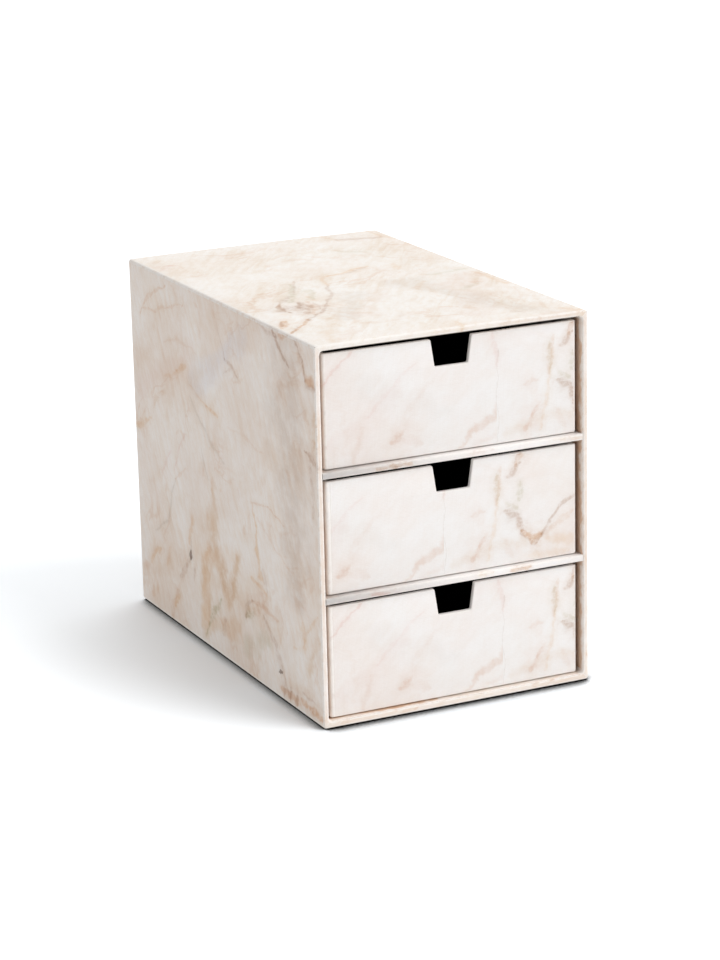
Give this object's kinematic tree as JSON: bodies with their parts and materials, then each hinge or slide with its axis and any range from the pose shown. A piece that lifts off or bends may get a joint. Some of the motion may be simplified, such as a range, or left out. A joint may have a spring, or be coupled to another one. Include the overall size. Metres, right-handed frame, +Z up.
{
  "type": "desktop drawer chest",
  "caption": "Desktop chest of pull-out paperboard drawers with trapezoid finger notches, in an open-front case wrapped in marble-patterned paper.",
  "frame": {"origin": "middle of the underside's outline, on the surface that the case stands on", "axes": "+X to the right seen from the front, -Y out of the front, +Z up"},
  "size_m": [0.143, 0.226, 0.185],
  "materials": {
    "marble_paper": "matt linen-embossed paper printed with a pale marble pattern",
    "greyboard": "raw recycled greyboard",
    "dark_paper": "matt dyed paper"
  },
  "bodies": {
    "case": {"case_left_board": "greyboard", "case_right_board": "greyboard", "case_top_board": "greyboard", "case_base_board": "greyboard", "case_back_board": "greyboard", "lower_shelf_board": "greyboard", "upper_shelf_board": "greyboard", "lower_shelf_wrap": "marble_paper", "upper_shelf_wrap": "marble_paper", "case_wrap": "marble_paper", "case_back_cover": "marble_paper", "case_base_cover": "dark_paper", "case_left_lining": "dark_paper", "case_right_lining": "dark_paper", "case_ceiling_lining": "dark_paper", "case_floor_lining": "dark_paper", "case_back_lining": "dark_paper"},
    "lower_drawer": {"lower_drawer_front_board": "greyboard", "lower_drawer_back_board": "greyboard", "lower_drawer_left_board": "greyboard", "lower_drawer_right_board": "greyboard", "lower_drawer_floor_board": "greyboard", "lower_drawer_wrap": "marble_paper", "lower_drawer_lining": "dark_paper", "lower_drawer_underside_cover": "dark_paper"},
    "middle_drawer": {"middle_drawer_front_board": "greyboard", "middle_drawer_back_board": "greyboard", "middle_drawer_left_board": "greyboard", "middle_drawer_right_board": "greyboard", "middle_drawer_floor_board": "greyboard", "middle_drawer_wrap": "marble_paper", "middle_drawer_lining": "dark_paper", "middle_drawer_underside_cover": "dark_paper"},
    "upper_drawer": {"upper_drawer_front_board": "greyboard", "upper_drawer_back_board": "greyboard", "upper_drawer_left_board": "greyboard", "upper_drawer_right_board": "greyboard", "upper_drawer_floor_board": "greyboard", "upper_drawer_wrap": "marble_paper", "upper_drawer_lining": "dark_paper", "upper_drawer_underside_cover": "dark_paper"}
  },
  "joints": [
    {"name": "lower_drawer_slide", "type": "slide", "parent": "case", "child": "lower_drawer", "axis": [0, -1, 0], "range_m": [0, 0.19]},
    {"name": "middle_drawer_slide", "type": "slide", "parent": "case", "child": "middle_drawer", "axis": [0, -1, 0], "range_m": [0, 0.19]},
    {"name": "upper_drawer_slide", "type": "slide", "parent": "case", "child": "upper_drawer", "axis": [0, -1, 0], "range_m": [0, 0.19]}
  ]
}
